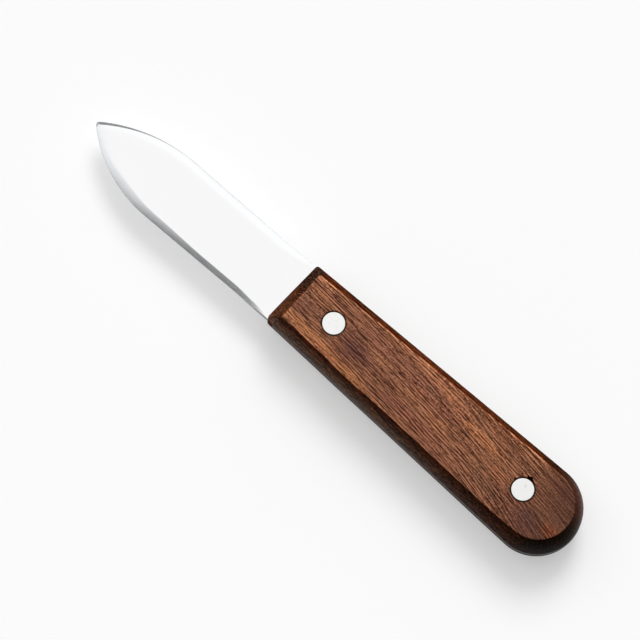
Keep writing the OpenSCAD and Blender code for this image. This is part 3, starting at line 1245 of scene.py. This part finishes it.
@dataclass
class Blade:
    """The steel: double-edged blade with a blunt point, ground edges and a full tang.

    The fields from wider_grind on are traces of hand grinding: how much wider and narrower the
    grind is on the belly side, how much thinner its edge, how full and how crisp the grind's crest,
    and the chamfer worn along the straighter edge and round the nose.
    """

    plan: HandlePlan
    rivets: tuple[float, ...]
    tip_x: float = -85.0
    tip_radius: float = 1.1
    tip_wedge: float = 48.83
    nose_blend: float = 0.25
    shoulder_x: float = -13.2
    shoulder_blend: float = 0.15
    straight_edge: GroundEdge = field(default_factory=lambda: GroundEdge(side=1, reach=9.5))
    belly_edge: GroundEdge = field(default_factory=lambda: GroundEdge(side=-1, reach=10.6))
    edge_thickness: float = 0.7
    edge_round: float = 0.10
    tang_round: float = 0.06
    sleeve_hole: float = 2.1
    wider_grind: float = 0.6
    narrower_grind: float = 0.5
    thinner_edge: float = 0.13
    crown: float = 0.2
    soft_crest: float = 0.36
    crisp_crest: float = 0.03
    crest_inset: float = 1.5
    nose_chamfer: float = 0.34
    chamfer: float = 0.12
    chamfer_growth: float = 0.35
    chamfer_rise: float = 0.62
    chamfer_start: float = -84.5
    chamfer_taper: float = 15.0

    def _nose_depth(self, x: Grid, y: Grid) -> Grid:
        """Depth inside the blunt nose: its radius less the distance, and to its wings behind."""
        wedge = math.radians(self.tip_wedge)
        along = x - self.tip_x - self.tip_radius
        aside = np.abs(y)
        wing = self.tip_radius + math.sin(wedge) * along - math.cos(wedge) * aside
        before = math.cos(wedge) * along + math.sin(wedge) * aside < 0.0
        return np.where(before, self.tip_radius - np.hypot(along, y), wing)

    def depth(self, x: Grid, y: Grid) -> Grid:
        """Depth inside the outline of blade and tang.

        Args:
            x: Places along the knife.
            y: Places across it.

        Returns:
            The least of the depths inside both edges and the nose, and behind the shoulder the
            depth inside the handle's sides and butt.
        """
        edges = np.minimum(self.straight_edge.depth(x, y), self.belly_edge.depth(x, y))
        blade = soft_least(edges, self._nose_depth(x, y), self.nose_blend)
        tang = self.plan.side_depth(x, y)
        blend = self.shoulder_blend
        behind = ease(self.shoulder_x - blend, self.shoulder_x + blend, x)
        return blade + (tang - blade) * behind

    @staticmethod
    def _near_point(x: Grid) -> Grid:
        """1 where the edges curve to the point, falling to 0 at its very end and behind."""
        return (1.0 - ease(-69.0, -54.0, x)) * ease(-85.0, -79.0, x)

    @staticmethod
    def _belly(y: Grid) -> Grid:
        """1 on the side of the fuller edge, 0 on the other."""
        return ease(1.5, -1.5, y)

    def _share(self, x: Grid, y: Grid) -> Grid:
        """How far up the nearer grind a place lies: 0 at its outer border, 1 at its crest.

        Args:
            x: Places along the knife.
            y: Places across it.

        Returns:
            The depth inside the grind by its width, which on the belly side grows a little round
            the point and shrinks towards the heel, as the hand that ground it let it.
        """
        ground = np.minimum(self.straight_edge.ground(x, y), self.belly_edge.ground(x, y))
        wider = self.wider_grind * self._near_point(x)
        narrower = self.narrower_grind * ease(-56.0, -38.0, x) * (1.0 - ease(-24.0, -17.0, x))
        return ground / (self.straight_edge.grind_width + (wider - narrower) * self._belly(y))

    def _edge_radius(self, x: Grid) -> Grid:
        """Radius of the rubbed edge: more on the blade, little on the tang."""
        on_blade = 1.0 - ease(self.shoulder_x - 1.0, self.shoulder_x, x)
        return self.tang_round + (self.edge_round - self.tang_round) * on_blade

    def height(self, x: Grid, y: Grid) -> Grid:
        """Half the steel's thickness at each place, before the edges are rubbed round.

        Args:
            x: Places along the knife.
            y: Places across it.

        Returns:
            The soft least of the flat face, of the grind, which rises from half the edge's
            thickness to the face with a slight crown, and of the worn chamfer, which runs along the
            straighter edge and round the nose and is widest near the point. On the belly side the
            edge is a little thinner near the point.
        """
        half = self.plan.steel_thickness / 2.0
        edge = self.edge_thickness / 2.0 - self.thinner_edge * self._near_point(x) * self._belly(y)
        share = self._share(x, y)
        crown = self.crown * np.clip(share, 0.0, 1.0) * (1.0 - np.clip(share, 0.0, 1.0))
        ground = edge + (half - edge) * (share + crown)
        crisp = ease(-80.0, -66.0, x) * ease(2.0, -2.0, y)
        blend = self.soft_crest + (self.crisp_crest - self.soft_crest) * crisp
        face = soft_least(np.full_like(ground, half), ground, blend)
        nose = self.nose_chamfer * (1.0 - ease(-85.0, -84.2, x))
        taper = np.clip((x - self.chamfer_start) / self.chamfer_taper, 0.0, 1.0)
        upper = self.chamfer + self.chamfer_growth * (1.0 - taper) ** 2.2
        upper = upper * (1.0 - ease(-39.0, -28.0, x))
        worn = nose + (np.maximum(upper, nose) - nose) * ease(-1.0, 0.4, y)
        rise = self.chamfer_rise
        low = edge - (rise - (half - edge) / self.straight_edge.grind_width) * worn
        chamfered = low + rise * np.maximum(self.depth(x, y), 0.0)
        return np.where(worn > 0.005, soft_least(face, chamfered, self.crisp_crest), face)

    def _rays(self) -> Rays:
        """Rays from the middle line, closer at the nose, the heel and the shoulder."""
        half = spaced((90.0, 168.0, 56), (168.0, 180.0, 22))
        butt = self.plan.butt_centre
        places = spaced((-70.0, -16.0, 72), (-16.0, -12.0, 16), (-12.0, butt, 59))
        return Rays.around(front_fan(half), np.append(places, butt), np.linspace(270.0, 450.0, 49))

    def points(self) -> Grid:
        """The steel's surface.

        Each ray is cut where it crosses the grind's crest and the outline. The rows go out from the
        middle line to the crest, over the grind, round the rubbed edge and down to the steel's
        middle; the lower half is its mirror image.

        Returns:
            Rows by rays by XYZ.
        """
        rays = self._rays()
        outline = rays.crossing(self.depth, np.zeros((1, 1)))
        crest = rays.crossing(self._share, np.ones((1, 1)))
        crest = np.minimum(crest, outline - self.crest_inset)
        radius = self._edge_radius(rays.at(outline)[0])
        inner = crest * column(0.0, 0.25, 0.5, 0.72, 0.88)
        brow = crest + column(-0.62, -0.45, -0.3, -0.15, -0.05, 0.0, 0.05, 0.15, 0.3, 0.45)
        rim = outline - radius - column(0.85, 0.7, 0.56, 0.43, 0.31, 0.2, 0.1, 0.03)
        slope = brow[-1:] + (rim[:1] - brow[-1:]) * column(0.25, 0.5, 0.75)
        turn = np.linspace(0.0, math.pi / 2.0, 7)[::-1, None]
        rubbed = outline - radius * (1.0 - np.cos(turn))
        distance = np.concatenate((inner, brow, slope, rim, rubbed))
        x, y = rays.at(distance)
        short = np.maximum(radius - np.maximum(outline - distance, 0.0), 0.0)
        z = np.maximum(self.height(x, y) - drawn_in(radius, short), 0.0)
        face = np.stack((x, y, z), axis=-1)
        wall = face[-1:] * np.array([(1.0, 1.0, 0.5), (1.0, 1.0, 0.0)])[:, None]
        upper = np.concatenate((face, wall))
        lower = upper[-2::-1] * (1.0, 1.0, -1.0)
        return np.concatenate((upper, lower)) + (0.0, 0.0, self.plan.middle_z)

    def build(self, finish: bpy.types.Material) -> bpy.types.Object:
        """Makes the steel and drills the tang for the rivets' sleeves."""
        piece = add_piece("steel_blade", closed_mesh("blade", self.points()))
        low = self.plan.middle_z - self.plan.steel_thickness
        high = self.plan.middle_z + self.plan.steel_thickness
        radius = self.sleeve_hole
        drill = np.array([(0.0, low), (radius, low), (radius, high), (0.0, high)])
        holes = [lathed_points(drill, (centre, 0.0), 96) for centre in self.rivets]
        carve(piece, [closed_mesh("drill", hole) for hole in holes])
        shade(piece, 40.0)
        dress(piece, "blade", finish)
        return piece


@dataclass
class Rivet:
    """One two-piece rivet: a pin whose head lies in the top scale, driven into a sleeve."""

    station: Station
    centre: float
    total: float = 16.0
    head_radius: float = 3.125
    head_depth: float = 1.8
    sleeve_radius: float = 2.0
    bore_radius: float = 1.42
    pin_radius: float = 1.4
    pin_end: float = 5.7
    bore_end: float = 4.9
    sleeve_top: float = 13.8
    rim: float = 0.13
    segments: int = 128

    def _head(self) -> list[Pair]:
        """Head's profile from the axis: flat face, softly turned rim and wall, from its outside."""
        turn = np.linspace(0.0, math.pi / 2.0, 6)
        rim = self.rim
        out = self.head_radius - rim + rim * np.sin(turn)
        return [
            (0.0, 0.0),
            (self.head_radius * 0.5, 0.0),
            (self.head_radius * 0.9, 0.0),
            *zip(out, rim - rim * np.cos(turn), strict=True),
            (self.head_radius, self.head_depth - 0.05),
            (self.head_radius - 0.05, self.head_depth),
        ]

    def _profile(self, half: RivetHalf) -> Grid:
        """Profile of a half, as radius and distance from the outside of its head."""
        head = self._head()
        if half is RivetHalf.PIN:
            reach = self.total - self.pin_end
            body = [
                (self.pin_radius, self.head_depth),
                (self.pin_radius, reach - 0.4),
                (self.pin_radius - 0.35, reach),
                (0.0, reach),
            ]
        else:
            body = [
                (self.sleeve_radius, self.head_depth),
                (self.sleeve_radius, self.sleeve_top - 0.15),
                (self.sleeve_radius - 0.12, self.sleeve_top),
                (self.bore_radius + 0.05, self.sleeve_top),
                (self.bore_radius, self.sleeve_top - 0.1),
                (self.bore_radius, self.bore_end),
                (0.0, self.bore_end),
            ]
        return np.array(head + body)

    def build(self, half: RivetHalf, finish: bpy.types.Material) -> bpy.types.Object:
        """Makes one half of the rivet.

        Args:
            half: Which half.
            finish: Its material.

        Returns:
            The piece.
        """
        node = f"{self.station.value}_rivet_{half.value}"
        profile = self._profile(half)
        if half is RivetHalf.PIN:
            profile[:, 1] = self.total - profile[:, 1]
        points = lathed_points(profile, (self.centre, 0.0), self.segments)
        piece = add_piece(f"metal_{node}", closed_mesh(node, points))
        shade(piece, 50.0)
        dress(piece, node, finish)
        return piece


# The studio


@dataclass
class Studio:
    """Floor, soft light and camera.

    The camera stands far off, a few degrees from straight above: it leans towards the knife's belly
    edge and its butt. The light is one broad soft source on the side of the straighter edge, with a
    faint window in it. Spreads are angles from a source's middle, and the horizon's from straight
    up, between which the light fades.
    """

    distance: float = 3000.0
    pixels_per_millimetre: float = 3.7343
    lean_x: float = 5.7694
    lean_y: float = 10.7642
    roll: float = 41.3068
    target_pixel: Pair = (333.602, 330.695)
    frame_pixels: float = 640.0
    aim_height: float = 8.0
    sensor: float = 36.0
    key_direction: Triple = (-0.352, 0.553, 0.755)
    broad_direction: Triple = (-0.550, 0.380, 0.744)
    window_direction: Triple = (-0.099, 0.706, 0.702)
    broad_spread: Pair = (58.0, 40.0)
    window_spread: Pair = (27.0, 10.0)
    horizon: Pair = (75.0, 60.0)
    ambient: float = 0.22
    floor_share: float = 0.35
    broad: float = 0.85
    window: float = 0.09
    sun: float = 1.5
    sun_spread: float = 28.0

    def camera(self) -> None:
        """Makes the camera at the photograph's viewing angle."""
        lean = np.tan(np.radians((self.lean_x, self.lean_y)))
        view = np.array([lean[0], -lean[1], 1.0])
        view /= np.linalg.norm(view)
        across = np.array([1.0, 0.0, 0.0])
        across -= view * across.dot(view)
        across /= np.linalg.norm(across)
        down = np.cross(across, view)
        down *= -np.sign(down[1])
        roll = math.radians(self.roll)
        image_right = math.cos(roll) * across - math.sin(roll) * down
        image_down = math.sin(roll) * across + math.cos(roll) * down
        off = (np.array(self.target_pixel) - self.frame_pixels / 2.0) / self.pixels_per_millimetre
        aim = np.array([0.0, 0.0, self.aim_height]) - off[0] * image_right - off[1] * image_down
        place = (aim + self.distance * view) * MILLIMETRE
        data = bpy.data.cameras.new("camera")
        data.sensor_width = self.sensor
        data.lens = self.sensor * self.distance * self.pixels_per_millimetre / self.frame_pixels
        data.clip_end = 20.0
        camera = bpy.data.objects.new("camera", data)
        bpy.context.scene.collection.objects.link(camera)
        axes = np.stack((image_right, -image_down, view), axis=1)
        camera.matrix_world = Matrix.Translation(Vector(place)) @ Matrix(axes.tolist()).to_4x4()
        bpy.context.scene.camera = camera

    def floor(self) -> None:
        """Makes the pale floor as a sheet whose far border turns up a little."""
        ring = (0.0, 600.0, 1800.0, 3400.0, 3900.0, 4100.0, 4200.0)
        rise = (0.0, 0.0, 0.0, 0.0, 60.0, 200.0, 460.0)
        points = lathed_points(np.stack((ring, rise), axis=-1), (0.0, 0.0), 64)
        floor = add_piece("floor", closed_mesh("floor", points))
        if floor.data.polygons[0].normal.z < 0.0:
            floor.data.flip_normals()
        floor.data.materials.append(PaleFloor().material("pale_floor"))

    def light(self) -> None:
        """Lights the knife with a dim world that has one broad bright part, and a soft sun."""
        world = bpy.data.worlds.new("studio")
        world.use_nodes = True
        bpy.context.scene.world = world
        bench = Bench(world.node_tree)
        direction = bench.node("ShaderNodeTexCoord", output="Generated")
        facing = bench.towards(direction, self.broad_direction)
        bright = facing.step(*cosines(self.broad_spread))
        window = bench.towards(direction, self.window_direction)
        core = window.step(*cosines(self.window_spread)) * self.window
        above = bench.parts(direction)[2].step(*cosines(self.horizon))
        dim = (above * (1.0 - self.floor_share) + self.floor_share) * self.ambient
        strength = bright * above * (core + self.broad) + dim
        sockets = {"Color": (1.0, 1.0, 1.0, 1.0), "Strength": strength}
        back = bench.node("ShaderNodeBackground", sockets=sockets)
        bench.node("ShaderNodeOutputWorld", sockets={"Surface": back})
        data = bpy.data.lights.new("key", "SUN")
        data.energy = self.sun
        data.angle = math.radians(self.sun_spread)
        key = bpy.data.objects.new("key", data)
        key.visible_glossy = False
        bpy.context.scene.collection.objects.link(key)
        key.rotation_mode = "QUATERNION"
        key.rotation_quaternion = Vector(self.key_direction).to_track_quat("Z", "Y")

    def build(self) -> None:
        """Sets up the whole studio."""
        self.camera()
        self.floor()
        self.light()
        bpy.context.scene.view_settings.view_transform = "Standard"


def rivet_place(station: Station) -> float:
    """Place of a rivet along X in millimetres, from its pin's node."""
    low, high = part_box(f"{station.value}_rivet_pin")
    return (low.x + high.x) / 2.0 / MILLIMETRE


def main() -> None:
    """Builds the knife and the studio in order."""
    logging.basicConfig(level=logging.INFO, format="%(name)s: %(message)s")
    plan = HandlePlan()
    rivets = tuple(rivet_place(station) for station in Station)
    steel = BrushedSteel(plan).material("brushed_steel")
    wood = DarkWood(plan, rivets, HandleScale.head_hole).material("oiled_dark_wood")
    metal = SandedRivet().material("sanded_rivet_metal")
    Blade(plan, rivets).build(steel)
    for face in Face:
        HandleScale(plan, face, rivets).build(wood)
    for station, centre in zip(Station, rivets, strict=True):
        for half in RivetHalf:
            Rivet(station, centre).build(half, metal)
    Studio().build()


if __name__ == "__main__":
    main()
